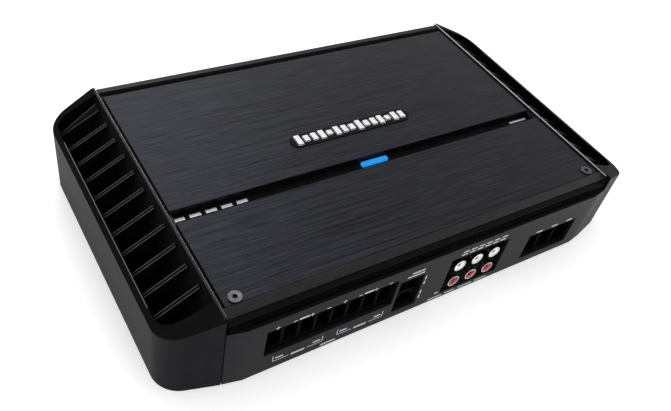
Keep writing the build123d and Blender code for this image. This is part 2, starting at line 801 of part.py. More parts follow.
def clamp_screws(xs, clamp, wire_hole, screw_radius, cell_z):
    """Set screws with a hexagon socket, standing in the tops of the clamps."""
    bottom = cell_z - wire_drop + wire_hole / 2 + 0.1
    top = cell_z + clamp[1] / 2 + 1.2
    with BuildPart() as screws:
        with BuildSketch(Plane.XY.offset(bottom)):
            with Locations(*[(x, clamp_mid_y) for x in xs]):
                Circle(screw_radius)
        extrude(amount=top - bottom)
        with BuildSketch(Plane.XY.offset(top - 2.4)):
            with Locations(*[(x, clamp_mid_y) for x in xs]):
                RegularPolygon(screw_radius * 0.55, 6)
        extrude(amount=3.0, mode=Mode.SUBTRACT)
    return screws.part


speaker_cell_z = speaker_opening_z - 0.6
power_cell_z = power_opening_z - 0.6
speaker_shape = (speaker_xs, speaker_pitch, speaker_cell, speaker_clamp, speaker_screw_radius)
power_shape = (power_xs, power_pitch, power_cell, power_clamp, power_screw_radius)
finish(terminal_block(*speaker_shape, speaker_block_top, speaker_cell_z), "speaker_terminal_block")
finish(terminal_block(*power_shape, power_block_top, power_cell_z), "power_terminal_block")
finish(
    terminal_clamps(speaker_xs, speaker_clamp, speaker_wire_hole, speaker_screw_radius, speaker_cell_z),
    "speaker_clamps",
)
finish(
    terminal_clamps(power_xs, power_clamp, power_wire_hole, power_screw_radius, power_cell_z),
    "power_clamps",
)
finish(
    clamp_screws(speaker_xs, speaker_clamp, speaker_wire_hole, speaker_screw_radius, speaker_cell_z),
    "speaker_clamp_screws",
)
finish(
    clamp_screws(power_xs, power_clamp, power_wire_hole, power_screw_radius, power_cell_z),
    "power_clamp_screws",
)

# ---------------------------------------------------------------- phono sockets
rca_front = -half_depth + fit_gap
rca_block_front = rca_front + rca_reach
rca_places = [
    (rca_x + (i - (rca_columns - 1) / 2) * rca_pitch[0], rca_centre_z + row * rca_pitch[1])
    for row in (0.5, -0.5)
    for i in range(rca_columns)
]
rca_insert_radius = rca_shell_radius - rca_shell_wall
rca_seat = 1.0

with BuildPart() as rca_block:
    with BuildSketch(Plane.XY.offset(board_top)):
        with Locations((rca_x, rca_block_front + rca_block_depth / 2)):
            Rectangle(rca_opening[0] + 2.0, rca_block_depth)
    extrude(amount=rca_opening_z + rca_opening[1] / 2 + 1.5 - board_top)
    with BuildSketch(Plane.XZ.offset(-rca_block_front)):
        with Locations(*rca_places):
            Circle(rca_shell_radius + rca_relief)
    extrude(amount=-rca_seat, mode=Mode.SUBTRACT)
finish(rca_block.part, "rca_block")

with BuildPart() as rca_shells:
    with BuildSketch(Plane.XZ.offset(-rca_front)):
        with Locations(*rca_places):
            Circle(rca_shell_radius)
            Circle(rca_insert_radius, mode=Mode.SUBTRACT)
    extrude(amount=-(rca_reach + rca_seat))
finish(rca_shells.part, "rca_shells")


def rca_inserts(places):
    """Coloured insulators inside the shells of one row."""
    with BuildPart() as inserts:
        with BuildSketch(Plane.XZ.offset(-rca_front - 0.5)):
            with Locations(*places):
                Circle(rca_insert_radius)
                Circle(rca_contact_radius, mode=Mode.SUBTRACT)
        extrude(amount=-(rca_reach + rca_seat - 0.5))
    return inserts.part


finish(rca_inserts(rca_places[:rca_columns]), "rca_inserts_white")
finish(rca_inserts(rca_places[rca_columns:]), "rca_inserts_red")

with BuildPart() as rca_contacts:
    with BuildSketch(Plane.XZ.offset(-rca_front - 1.2)):
        with Locations(*rca_places):
            Circle(rca_contact_radius)
            Circle(rca_contact_hole, mode=Mode.SUBTRACT)
    extrude(amount=-(rca_reach + rca_seat - 1.2))
finish(rca_contacts.part, "rca_contacts")

# ---------------------------------------------------------------- remote level jack and input header
jack_z = board_top
jack_size = (15.6, 15.0, 13.4)
header_size = (15.6, 11.0, 11.6)

with BuildPart() as remote_level_jack:
    with BuildSketch(Plane.XY.offset(jack_z)):
        with Locations((jack_x, block_front + jack_size[1] / 2)):
            Rectangle(jack_size[0], jack_size[1])
    extrude(amount=jack_size[2])
    with BuildSketch(Plane.XZ.offset(-block_front)):
        with Locations((jack_x, jack_z + 6.0)):
            Rectangle(11.8, 7.2)
        with Locations((jack_x, jack_z + 10.6)):
            Rectangle(6.0, 2.4)
    extrude(amount=-12.0, mode=Mode.SUBTRACT)
finish(remote_level_jack.part, "remote_level_jack")

with BuildPart() as input_header:
    with BuildSketch(Plane.XY.offset(jack_z + jack_size[2])):
        with Locations((jack_x, block_front + header_size[1] / 2)):
            Rectangle(header_size[0], header_size[1])
    extrude(amount=header_size[2])
    with BuildSketch(Plane.XZ.offset(-block_front)):
        with Locations((jack_x, jack_z + jack_size[2] + header_size[2] / 2)):
            Rectangle(header_size[0] - 1.6, header_size[2] - 1.8)
    extrude(amount=-8.0, mode=Mode.SUBTRACT)
finish(input_header.part, "input_header")

with BuildPart() as header_pins:
    with BuildSketch(Plane.XZ.offset(-block_front - 2.0)):
        with Locations((jack_x, jack_z + jack_size[2] + header_size[2] / 2)):
            with GridLocations(3.4, 4.6, 4, 2):
                Rectangle(0.8, 0.8)
    extrude(amount=-6.0)
finish(header_pins.part, "header_pins")

# ---------------------------------------------------------------- controls in the well
control_places = [(i - 3.5) * control_pitch for i in range(8)]
knob_places = {
    "gain_knob_front": control_places[0],
    "crossover_knob_front": control_places[1],
    "bass_knob_front": control_places[2],
    "bass_knob_rear": control_places[5],
    "crossover_knob_rear": control_places[6],
    "gain_knob_rear": control_places[7],
}
switch_places = {"crossover_switch_front": control_places[3], "crossover_switch_rear": control_places[4]}
plate_z = ledge_z
plate_face = plate_z + control_plate_thickness
control_board_top = control_board_z + board_thickness
shaft_bottom = control_board_top + 2.2
switch_slot = (lever_width + 2 * lever_travel + 0.2, lever_width + 0.2)

with BuildPart() as control_plate:
    with BuildSketch(Plane.XY.offset(plate_z)):
        with Locations((0, control_y)):
            RectangleRounded(well_size[0] - 2 * fit_gap, well_size[1] - 2 * fit_gap, 1.3)
        with Locations(*[(x, control_y) for x in knob_places.values()]):
            Circle(knob_shaft_radius + 0.5, mode=Mode.SUBTRACT)
        with Locations(*[(x, control_y) for x in switch_places.values()]):
            Rectangle(switch_slot[0] + 0.4, switch_slot[1] + 0.4, mode=Mode.SUBTRACT)
    extrude(amount=control_plate_thickness)
finish(control_plate.part, "control_plate")

with BuildPart() as control_board:
    with BuildSketch(Plane.XY.offset(control_board_z)):
        with Locations((0, control_y)):
            Rectangle(2 * tub_half_x - 3.0, 2 * tub_half_y - 2.0)
            with GridLocations(2 * tub_half_x - 10.0, 2 * tub_half_y - 9.0, 2, 2):
                Circle(m3_radius + 0.1, mode=Mode.SUBTRACT)
    extrude(amount=board_thickness)
finish(control_board.part, "control_board")

with BuildPart() as control_board_screws:
    with BuildSketch(Plane.XY.offset(control_board_z - m3_head_height)):
        with Locations((0, control_y)):
            with GridLocations(2 * tub_half_x - 10.0, 2 * tub_half_y - 9.0, 2, 2):
                Circle(m3_head_radius)
    extrude(amount=m3_head_height)
    with BuildSketch(Plane.XY.offset(control_board_z)):
        with Locations((0, control_y)):
            with GridLocations(2 * tub_half_x - 10.0, 2 * tub_half_y - 9.0, 2, 2):
                Circle(m3_radius)
    extrude(amount=board_thickness + 5.0)
finish(control_board_screws.part, "control_board_screws")

with BuildPart() as pot_bodies:
    with BuildSketch(Plane.XY.offset(control_board_top)):
        with Locations(*[(x, control_y) for x in knob_places.values()]):
            Rectangle(pot_size[0], pot_size[1])
    extrude(amount=pot_size[2])
    with BuildSketch(Plane.XY.offset(shaft_bottom - 0.2)):
        with Locations(*[(x, control_y) for x in knob_places.values()]):
            Circle(knob_shaft_radius + running_gap)
    extrude(amount=pot_size[2], mode=Mode.SUBTRACT)
finish(pot_bodies.part, "pot_bodies")

knob_bottom = plate_face + 0.4
for name, x in knob_places.items():
    with BuildPart() as knob:
        with BuildSketch(Plane.XY.offset(shaft_bottom)):
            with Locations((x, control_y)):
                Circle(knob_shaft_radius)
        extrude(amount=knob_bottom - shaft_bottom)
        with BuildSketch(Plane.XY.offset(knob_bottom)):
            with Locations((x, control_y)):
                Circle(knob_radius)
                with PolarLocations(knob_radius + 0.15, 12):
                    Circle(0.45, mode=Mode.SUBTRACT)
        extrude(amount=knob_height)
        with BuildSketch(Plane.XY.offset(knob_bottom + knob_height - 1.2)):
            with Locations((x, control_y + 0.6)):
                Rectangle(1.2, 2 * knob_radius - 2.4)
        extrude(amount=2.0, mode=Mode.SUBTRACT)
    finish(knob.part, name)

with BuildPart() as switch_bodies:
    with BuildSketch(Plane.XY.offset(control_board_top)):
        with Locations(*[(x, control_y) for x in switch_places.values()]):
            Rectangle(switch_size[0], switch_size[1])
    extrude(amount=switch_size[2])
    with BuildSketch(Plane.XY.offset(shaft_bottom - 0.2)):
        with Locations(*[(x, control_y) for x in switch_places.values()]):
            Rectangle(*switch_slot)
    extrude(amount=switch_size[2], mode=Mode.SUBTRACT)
finish(switch_bodies.part, "switch_bodies")

for name, x in switch_places.items():
    with BuildPart() as lever:
        with BuildSketch(Plane.XY.offset(shaft_bottom)):
            with Locations((x, control_y)):
                Rectangle(lever_width, lever_width)
        extrude(amount=knob_bottom - shaft_bottom)
        with BuildSketch(Plane.XY.offset(knob_bottom)):
            with Locations((x, control_y)):
                Rectangle(lever_width + 1.2, lever_width + 1.6)
        extrude(amount=knob_height - 2.4)
    finish(lever.part, name)

with BuildPart() as board_link:
    with BuildSketch(Plane.XY.offset(board_top)):
        with Locations((0, control_y + 10.0)):
            Rectangle(40.0, 5.0)
    extrude(amount=control_board_z - board_top)
finish(board_link.part, "board_link")

# ---------------------------------------------------------------- power stage on the main board
toroid_centre = (62.0, 22.0)
toroid_base_thickness = 2.0
toroid_height = 26.0
toroid_radius = 29.0
toroid_hole = 11.0

with BuildPart() as toroid_base:
    with BuildSketch(Plane.XY.offset(board_top)):
        with Locations(toroid_centre):
            Circle(toroid_radius + 1.0)
            Circle(toroid_hole - 2.0, mode=Mode.SUBTRACT)
    extrude(amount=toroid_base_thickness)
finish(toroid_base.part, "toroid_base")

with BuildPart() as power_toroid:
    with BuildSketch(Plane.XY.offset(board_top + toroid_base_thickness)):
        with Locations(toroid_centre):
            Circle(toroid_radius)
            Circle(toroid_hole, mode=Mode.SUBTRACT)
    extrude(amount=toroid_height)
    fillet(power_toroid.edges().filter_by(GeomType.CIRCLE), 5.0)
finish(power_toroid.part, "power_toroid")

inductor_places = [(-72.0, -42.0 + 32.0 * i) for i in range(4)]
with BuildPart() as output_inductors:
    with BuildSketch(Plane.XY.offset(board_top)):
        with Locations(*inductor_places):
            Circle(13.0)
            Circle(5.5, mode=Mode.SUBTRACT)
    extrude(amount=12.0)
    fillet(output_inductors.edges().filter_by(GeomType.CIRCLE), 2.5)
finish(output_inductors.part, "output_inductors")

with BuildPart() as bulk_capacitors:
    with BuildSketch(Plane.XY.offset(board_top)):
        with Locations((-18.0, 27.0)):
            with GridLocations(21.0, 21.0, 3, 3):
                Circle(9.0)
    extrude(amount=36.0)
    chamfer(bulk_capacitors.faces().filter_by(Plane.XY).edges(), 0.6)
finish(bulk_capacitors.part, "bulk_capacitors")

with BuildPart() as input_capacitors:
    with BuildSketch(Plane.XY.offset(board_top)):
        with Locations((104.0, -21.5)):
            with GridLocations(1.0, 19.0, 1, 4):
                Circle(8.0)
    extrude(amount=31.0)
    chamfer(input_capacitors.faces().filter_by(Plane.XY).edges(), 0.6)
finish(input_capacitors.part, "input_capacitors")

with BuildPart() as driver_chips:
    with BuildSketch(Plane.XY.offset(board_top)):
        with Locations((-101.0, 6.0)):
            with GridLocations(1.0, 26.0, 1, 4):
                Rectangle(7.5, 18.0)
    extrude(amount=2.5)
finish(driver_chips.part, "driver_chips")


def wall_row(side, name):
    """Flat-pack transistors standing on the board with their backs to a side wall."""
    back = wall_inner - pad_thickness
    body_x = side * (back - transistor_body[0] / 2)
    body_z = board_top + transistor_lift
    with BuildPart() as row:
        with BuildSketch(Plane.XY.offset(body_z)):
            with Locations(*[(body_x, y) for y in transistor_ys]):
                Rectangle(transistor_body[0], transistor_body[1])
        extrude(amount=transistor_body[2])
        with BuildSketch(Plane.XY.offset(board_top)):
            with Locations(*[(body_x - side, y) for y in transistor_ys]):
                with GridLocations(1.0, 2.54, 1, 3):
                    Rectangle(0.6, 1.0)
        extrude(amount=transistor_lift)
    finish(row.part, name)


wall_row(-1, "output_transistors")
wall_row(1, "supply_transistors")

with BuildPart() as thermal_pads:
    for side in (-1, 1):
        with BuildSketch(Plane.YZ.offset(side * (wall_inner - pad_thickness))):
            with Locations((0, clamp_screw_z)):
                Rectangle(wall_transistors * transistor_pitch + 4.0, 20.0)
            with Locations(*[(y, clamp_screw_z) for y in clamp_screw_ys]):
                Circle(m3_radius + 0.2, mode=Mode.SUBTRACT)
        extrude(amount=side * pad_thickness)
finish(thermal_pads.part, "thermal_pads")

bar_outer = wall_inner - pad_thickness - transistor_body[0]
with BuildPart() as transistor_clamps:
    for side in (-1, 1):
        with BuildSketch(Plane.YZ.offset(side * (bar_outer - clamp_bar[0]))):
            with Locations((0, clamp_screw_z)):
                RectangleRounded(wall_transistors * transistor_pitch, clamp_bar[1], 2.0)
            with Locations(*[(y, clamp_screw_z) for y in clamp_screw_ys]):
                Circle(m3_radius + 0.15, mode=Mode.SUBTRACT)
        extrude(amount=side * clamp_bar[0])
finish(transistor_clamps.part, "transistor_clamps")

with BuildPart() as transistor_clamp_screws:
    for side in (-1, 1):
        with BuildSketch(Plane.YZ.offset(side * (bar_outer - clamp_bar[0]))):
            with Locations(*[(y, clamp_screw_z) for y in clamp_screw_ys]):
                Circle(m3_head_radius)
        extrude(amount=-side * 2.0)
        with BuildSketch(Plane.YZ.offset(side * (bar_outer - clamp_bar[0]))):
            with Locations(*[(y, clamp_screw_z) for y in clamp_screw_ys]):
                Circle(m3_radius)
        extrude(amount=side * (wall_inner + 3.0 - bar_outer + clamp_bar[0]))
finish(transistor_clamp_screws.part, "transistor_clamp_screws")
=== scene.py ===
"""A car amplifier's looks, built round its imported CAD: castings, brushed plates, terminals, prints."""
import json
import math

import bmesh
import bpy
from bpy.props import FloatProperty, FloatVectorProperty, IntProperty, PointerProperty
from mathutils import Matrix, Vector


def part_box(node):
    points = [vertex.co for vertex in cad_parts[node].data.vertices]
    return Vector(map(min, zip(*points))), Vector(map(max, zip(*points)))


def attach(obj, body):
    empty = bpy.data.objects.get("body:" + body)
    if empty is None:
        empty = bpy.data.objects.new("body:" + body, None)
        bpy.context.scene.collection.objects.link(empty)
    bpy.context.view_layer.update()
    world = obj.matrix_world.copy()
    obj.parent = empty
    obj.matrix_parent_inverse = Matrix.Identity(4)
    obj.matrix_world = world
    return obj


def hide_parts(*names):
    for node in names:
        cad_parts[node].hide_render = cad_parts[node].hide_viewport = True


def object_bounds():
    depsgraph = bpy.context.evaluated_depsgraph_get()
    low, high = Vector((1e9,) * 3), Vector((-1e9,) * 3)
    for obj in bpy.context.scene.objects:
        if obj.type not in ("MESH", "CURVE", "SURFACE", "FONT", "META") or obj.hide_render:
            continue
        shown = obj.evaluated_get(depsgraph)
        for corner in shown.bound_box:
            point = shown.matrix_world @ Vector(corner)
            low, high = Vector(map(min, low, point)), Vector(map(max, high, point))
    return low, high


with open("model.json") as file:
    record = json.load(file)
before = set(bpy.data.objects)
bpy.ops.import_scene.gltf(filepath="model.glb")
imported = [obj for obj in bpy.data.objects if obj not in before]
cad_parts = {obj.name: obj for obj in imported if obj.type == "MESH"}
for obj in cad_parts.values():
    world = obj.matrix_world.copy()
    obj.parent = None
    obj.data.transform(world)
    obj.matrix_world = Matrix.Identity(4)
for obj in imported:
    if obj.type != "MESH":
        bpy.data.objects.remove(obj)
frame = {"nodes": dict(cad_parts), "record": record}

bl_info = {
    "name": "Car amplifier",
    "version": (1, 0, 0),
    "blender": (4, 5, 0),
    "location": "View3D > Sidebar > Amplifier",
    "description": "Builds the visual pieces of a car amplifier round its CAD frame",
    "category": "Object",
}

CAD_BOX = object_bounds()
NODES = frame["nodes"]
RECORD = frame["record"]
BODY_OF = {n: body for body, members in RECORD["behaviour"]["bodies"].items() for n in members}
SLOT_OF = {part["node"]: part["material_slot"] for part in RECORD["subparts"]}
MM = 0.001

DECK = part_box("heat_sink")
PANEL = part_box("connector_panel")
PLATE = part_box("rear_plate")
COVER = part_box("control_cover")
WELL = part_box("control_plate")
PLATE_TOP = PLATE[1].z
LIP_INNER = DECK[1].x - 1.7 * MM
GROOVE_FLOOR = PLATE[0].z - 3.0 * MM
PANEL_FACE = PANEL[0].y

# end caps: the outer wall, the lands at both ends of the pocket, and the fins
CAP_WALL = 3.3 * MM
CAP_REAR_LAND = 4.2 * MM
CAP_FRONT_LAND = 14.0 * MM
CAP_FLOOR = 3.0 * MM
FIN_TOP_LOW = 34.0 * MM
RIM_DROP = 11.2 * MM
RIM_HALF_LENGTH = 64.0 * MM
FIN_COUNT = 11
FIN_FIRST_Y = 77.0
FIN_PITCH = 14.44
FIN_EDGE = 0.95
FIN_RUN = (136.2, 158.6)
GUSSET_WIDTH = 5.2
FIN_INNER_X = 134.0
FIN_INNER_TOP = 52.4
FIN_SLOPE = 0.5815

# marks on the floor of the groove, in millimetres
GROOVE_BARS = 5
GROOVE_BAR_START = -129.8
GROOVE_BAR_PITCH = 9.2
GROOVE_BAR = (6.4, 2.3)
GROOVE_BAR_SETBACK = 4.6
GROOVE_DASH = (113.0, 128.0)
GROOVE_MARK_RISE = 0.25 * MM

KNOBS = sorted(n for n in NODES if "_knob_" in n)
LEVERS = sorted(n for n in NODES if "_switch_" in n and not n.startswith("switch"))


# ------------------------------------------------------------------ finishes
class Finish:
    """A node material under construction: a Principled shader fed from object coordinates."""

    def __init__(self, name, **fixed):
        self.material = bpy.data.materials.new(name)
        self.material.use_nodes = True
        self.tree = self.material.node_tree
        self.shader = self.tree.nodes["Principled BSDF"]
        self.place = self.add("ShaderNodeTexCoord").outputs["Object"]
        self.normal = None
        for socket, value in fixed.items():
            self.shader.inputs[socket.replace("_", " ")].default_value = value

    def add(self, kind, **options):
        node = self.tree.nodes.new(kind)
        for key, value in options.items():
            setattr(node, key, value)
        return node

    def join(self, a, b):
        self.tree.links.new(a, b)

    def noise(self, scale, detail=3.0, stretch=(1.0, 1.0, 1.0), rough=0.5):
        """Noise in metres of object space; stretch multiplies the scale along each axis."""
        mapping = self.add("ShaderNodeMapping")
        mapping.inputs["Scale"].default_value = stretch
        self.join(self.place, mapping.inputs["Vector"])
        noise = self.add("ShaderNodeTexNoise")
        noise.inputs["Scale"].default_value = scale
        noise.inputs["Detail"].default_value = detail
        noise.inputs["Roughness"].default_value = rough
        self.join(mapping.outputs["Vector"], noise.inputs["Vector"])
        return noise.outputs["Fac"]

    def wave(self, scale, axis="X", distortion=0.0, profile="SIN"):
        """Bands across one axis of object space."""
        wave = self.add("ShaderNodeTexWave", bands_direction=axis, wave_profile=profile)
        wave.inputs["Scale"].default_value = scale
        wave.inputs["Distortion"].default_value = distortion
        self.join(self.place, wave.inputs["Vector"])
        return wave.outputs["Fac"]

    def cells(self, scale, feature="F1"):
        """Distance to the nearest of scattered points, for pebbled coats."""
        cells = self.add("ShaderNodeTexVoronoi", feature=feature)
        cells.inputs["Scale"].default_value = scale
        self.join(self.place, cells.inputs["Vector"])
        return cells.outputs["Distance"]

    def span(self, source, low, high, start=0.3, end=0.7):
        """source, clamped from start to end, as a number from low to high."""
        span = self.add("ShaderNodeMapRange")
        for socket, value in zip(("From Min", "From Max", "To Min", "To Max"), (start, end, low, high)):
            span.inputs[socket].default_value = value
        self.join(source, span.inputs["Value"])
        return span.outputs["Result"]

    def blend(self, a, b, mode="ADD"):
        """Two sources, or a source and a number, put through one sum."""
        node = self.add("ShaderNodeMath", operation=mode)
        self.join(a, node.inputs[0])
        if isinstance(b, (int, float)):
            node.inputs[1].default_value = b
        else:
            self.join(b, node.inputs[1])
        return node.outputs[0]

    def colour(self, source, dark, light, start=0.3, end=0.7, socket="Base Color"):
        ramp = self.add("ShaderNodeValToRGB")
        ramp.color_ramp.elements[0].position = start
        ramp.color_ramp.elements[1].position = end
        ramp.color_ramp.elements[0].color = (*dark, 1.0)
        ramp.color_ramp.elements[1].color = (*light, 1.0)
        self.join(source, ramp.inputs["Fac"])
        self.join(ramp.outputs["Color"], self.shader.inputs[socket])
        return ramp

    def roughness(self, source, low, high, start=0.3, end=0.7):
        self.join(self.span(source, low, high, start, end), self.shader.inputs["Roughness"])

    def relief(self, source, depth, strength=1.0):
        """Adds height in metres; several reliefs stack."""
        bump = self.add("ShaderNodeBump")
        bump.inputs["Distance"].default_value = depth
        bump.inputs["Strength"].default_value = strength
        self.join(source, bump.inputs["Height"])
        if self.normal is not None:
            self.join(self.normal, bump.inputs["Normal"])
        self.normal = bump.outputs["Normal"]
        self.join(self.normal, self.shader.inputs["Normal"])


def shade(colour, factor):
    """The colour made darker or lighter by a factor."""
    return tuple(min(1.0, c * factor) for c in colour)


def brushed_plate():
    """Anodised aluminium brushed along the length."""
    case = bpy.context.scene.amplifier_case
    f = Finish("brushed_black_plate", Metallic=1.0, Specular_IOR_Level=0.4)
    fine = f.noise(1.0, 2.0, (48.0, 3000.0, 3000.0))
    broad = f.noise(1.0, 3.0, (10.0, 1300.0, 1300.0))
    streaks = f.blend(fine, broad, "MULTIPLY")
    f.colour(streaks, shade(case.plate_colour, 0.42), shade(case.plate_colour, 1.62), 0.14, 0.38)
    f.roughness(broad, 0.40, 0.50)
    f.relief(fine, 0.000010, 0.5)
    f.relief(broad, 0.000006, 0.3)
    return f.material


def cast_coat():
    """Satin black coating over the deck casting."""
    case = bpy.context.scene.amplifier_case
    f = Finish("satin_cast_coat", Metallic=0.0, Specular_IOR_Level=0.14)
    cloud = f.noise(160.0, 5.0)
    grain = f.noise(2600.0, 2.0)
    f.colour(cloud, shade(case.cast_colour, 0.8), shade(case.cast_colour, 1.25))
    f.roughness(grain, 0.42, 0.56)
    f.relief(grain, 0.00002, 0.5)
    return f.material


def groove_painted_shade():
    """Painted shade: dead black at the bottom of the groove, also laid under the nose and on the connector
    panel's top, where shade falls.
    """
    return moulding("black_painted_groove_shade", (0.0022, 0.0022, 0.0024), 0.55, 0.7, sheen=0.05)


def pocket_painted_shade():
    """Painted shade: a darker black on the faces of the pockets between the fins, where shade falls."""
    return moulding("black_painted_pocket_shade", (0.0018, 0.0018, 0.0020), 0.55, 0.7, sheen=0.04)


def edge_painted_highlight():
    """Painted highlight along the fin and rim edges: a lighter, partly metallic coat standing in for light
    caught on them.
    """
    f = Finish("casting_painted_edge_highlight", Metallic=0.35, Specular_IOR_Level=0.4)
    highlight_patches = f.noise(900.0, 4.0)
    f.colour(highlight_patches, (0.020, 0.020, 0.022), (0.075, 0.076, 0.080))
    f.roughness(highlight_patches, 0.30, 0.46)
    f.relief(highlight_patches, 0.00002, 0.4)
    return f.material


def texture_coat():
    """Wrinkled black coating on the end caps: fine pebbles with slight sheen."""
    case = bpy.context.scene.amplifier_case
    f = Finish("textured_cap_coat", Metallic=0.0, Specular_IOR_Level=0.05)
    cloud = f.noise(90.0, 4.0)
    pebbles = f.cells(1500.0, "SMOOTH_F1")
    grain = f.noise(3200.0, 3.0)
    f.colour(cloud, shade(case.cap_colour, 0.8), shade(case.cap_colour, 1.3))
    f.roughness(grain, 0.40, 0.58)
    f.relief(pebbles, 0.00009, 0.5)
    f.relief(grain, 0.00003, 0.4)
    return f.material


def panel_coat():
    """Matt black panel with a very fine texture."""
    case = bpy.context.scene.amplifier_case
    f = Finish("matt_panel_coat", Metallic=0.0, Specular_IOR_Level=0.08)
    cloud = f.noise(60.0, 3.0)
    grain = f.noise(3800.0, 3.0)
    f.colour(cloud, shade(case.panel_colour, 0.85), shade(case.panel_colour, 1.2))
    f.roughness(grain, 0.34, 0.50)
    f.relief(grain, 0.00003, 0.5)
    return f.material


def lip_painted_highlight():
    """Painted highlight along the inner edge of the deck lips: bright metal standing in for light caught
    there.
    """
    f = Finish("bright_painted_lip_highlight", Metallic=1.0)
    marks = f.noise(1.0, 2.0, (1500.0, 25.0, 1500.0))
    f.colour(marks, (0.40, 0.41, 0.43), (0.52, 0.53, 0.55))
    f.roughness(marks, 0.16, 0.30)
    f.relief(marks, 0.000006, 0.4)
    return f.material


def chrome():
    """Polished metal of the emblem's bars."""
    f = Finish("bright_chrome", Metallic=1.0)
    haze = f.noise(400.0, 4.0)
    f.colour(haze, (0.78, 0.79, 0.81), (0.92, 0.92, 0.93))
    f.roughness(haze, 0.06, 0.16)
    f.relief(haze, 0.00001, 0.2)
    return f.material


def badge_back():
    """Dull black backing of the emblem."""
    f = Finish("badge_backing", Metallic=0.0, Specular_IOR_Level=0.06)
    cloud = f.noise(900.0, 3.0)
    f.colour(cloud, (0.0015, 0.0015, 0.0018), (0.003, 0.003, 0.0034))
    f.roughness(cloud, 0.4, 0.55)
    f.relief(cloud, 0.00001, 0.3)
    return f.material


def steel(name, dark, light, low=0.24, high=0.42):
    """Turned or plated metal, lightly stained."""
    f = Finish(name, Metallic=1.0)
    turned = f.noise(2400.0, 3.0)
    stain = f.noise(240.0, 4.0)
    f.colour(stain, dark, light)
    f.roughness(turned, low, high)
    f.relief(turned, 0.000015, 0.4)
    return f.material


def screw_steel():
    return steel("satin_screw_steel", (0.045, 0.045, 0.048), (0.10, 0.10, 0.105), 0.26, 0.4)


def zinc_plate():
    return steel("zinc_plated_steel", (0.50, 0.51, 0.53), (0.70, 0.71, 0.73))


def nickel():
    return steel("bright_nickel", (0.66, 0.65, 0.62), (0.84, 0.83, 0.80), 0.10, 0.2)


def clamp_plate():
    return steel("black_nickel_clamp", (0.010, 0.0097, 0.0092), (0.028, 0.027, 0.026), 0.28, 0.42)


def moulding(name, base, low=0.32, high=0.46, sheen=0.5, light=1.35):
    """Moulded plastic, a thin even coat, or a flat black painted shade, with faint flow marks."""
    f = Finish(name, Metallic=0.0, Specular_IOR_Level=sheen)
    flow = f.noise(120.0, 4.0, (1.0, 1.0, 3.0))
    spark = f.noise(2800.0, 2.0)
    f.colour(flow, shade(base, 0.78), shade(base, light))
    f.roughness(spark, low, high)
    f.relief(spark, 0.00002, 0.35)
    return f.material


def black_moulding():
    return moulding("black_moulding", (0.0011, 0.0011, 0.0012), 0.5, 0.65, sheen=0.02)


def white_moulding():
    return moulding("white_insert", (0.80, 0.80, 0.78), 0.22, 0.32, light=1.08)


def red_moulding():
    return moulding("red_insert", (0.30, 0.006, 0.018), 0.24, 0.34, sheen=0.25)


def knob_moulding():
    return moulding("knob_moulding", (0.022, 0.022, 0.023), 0.38, 0.52)


def pot_moulding():
    return moulding("potentiometer_blue", (0.03, 0.12, 0.30))


def bottom_coat():
    return moulding("bottom_powder_coat", (0.022, 0.022, 0.023), 0.42, 0.58)


def silicone_pad():
    return moulding("silicone_pad", (0.42, 0.44, 0.47), 0.6, 0.75)


def white_print():
    """Screen-printed ink, slightly uneven at its edges."""
    ink = bpy.context.scene.amplifier_prints
    f = Finish("white_print", Metallic=0.0, Specular_IOR_Level=0.4)
    patchy = f.noise(5200.0, 3.0)
    f.colour(patchy, shade(ink.ink_colour, 0.72), shade(ink.ink_colour, 1.0))
    f.roughness(patchy, 0.45, 0.6)
    f.relief(patchy, 0.00001, 0.3)
    return f.material


def silver_print():
    """Bright print on the floor of the groove."""
    f = Finish("silver_print", Metallic=0.6)
    patchy = f.noise(4200.0, 3.0)
    f.colour(patchy, (0.46, 0.47, 0.49), (0.66, 0.67, 0.69))
    f.roughness(patchy, 0.34, 0.46)
    f.relief(patchy, 0.00001, 0.3)
    return f.material


def glow():
    """Clear blue light pipe that glows evenly."""
    lamp = bpy.context.scene.amplifier_light
    f = Finish("blue_light_pipe", Roughness=0.3, Specular_IOR_Level=0.12)
    f.shader.inputs["Emission Strength"].default_value = lamp.glow_strength
    cloud = f.noise(700.0, 3.0)
    f.colour(cloud, shade(lamp.glow_colour, 0.82), shade(lamp.glow_colour, 1.12), socket="Emission Color")
    f.colour(cloud, (0.002, 0.016, 0.05), (0.003, 0.022, 0.07))
    f.relief(cloud, 0.00002, 0.2)
    return f.material


def circuit_board():
    """Green solder mask over copper tracks."""
    f = Finish("green_circuit_board", Metallic=0.0, Coat_Weight=0.4, Coat_Roughness=0.15)
    tracks = f.wave(260.0, "DIAGONAL", 14.0, "SAW")
    cloud = f.noise(300.0, 4.0)
    f.colour(f.blend(tracks, cloud, "MULTIPLY"), (0.006, 0.06, 0.022), (0.02, 0.14, 0.05), 0.15, 0.55)
    f.roughness(cloud, 0.22, 0.36)
    f.relief(tracks, 0.00003, 0.4)
    return f.material


def control_sheet():
    """Matt black sheet under the dials."""
    f = Finish("printed_control_plate", Metallic=0.2)
    grain = f.noise(3000.0, 2.0)
    cloud = f.noise(80.0, 3.0)
    f.colour(cloud, (0.014, 0.014, 0.016), (0.026, 0.026, 0.029))
    f.roughness(grain, 0.4, 0.55)
    f.relief(grain, 0.00002, 0.4)
    return f.material


def copper_winding():
    """Enamelled wire laid side by side."""
    f = Finish("enamelled_copper", Metallic=1.0, Coat_Weight=0.5, Coat_Roughness=0.1)
    turns = f.wave(380.0, "DIAGONAL", 1.2)
    cloud = f.noise(260.0, 3.0)
    f.colour(cloud, (0.34, 0.11, 0.035), (0.62, 0.25, 0.10))
    f.roughness(cloud, 0.2, 0.32)
    f.relief(turns, 0.0004, 0.7)
    return f.material


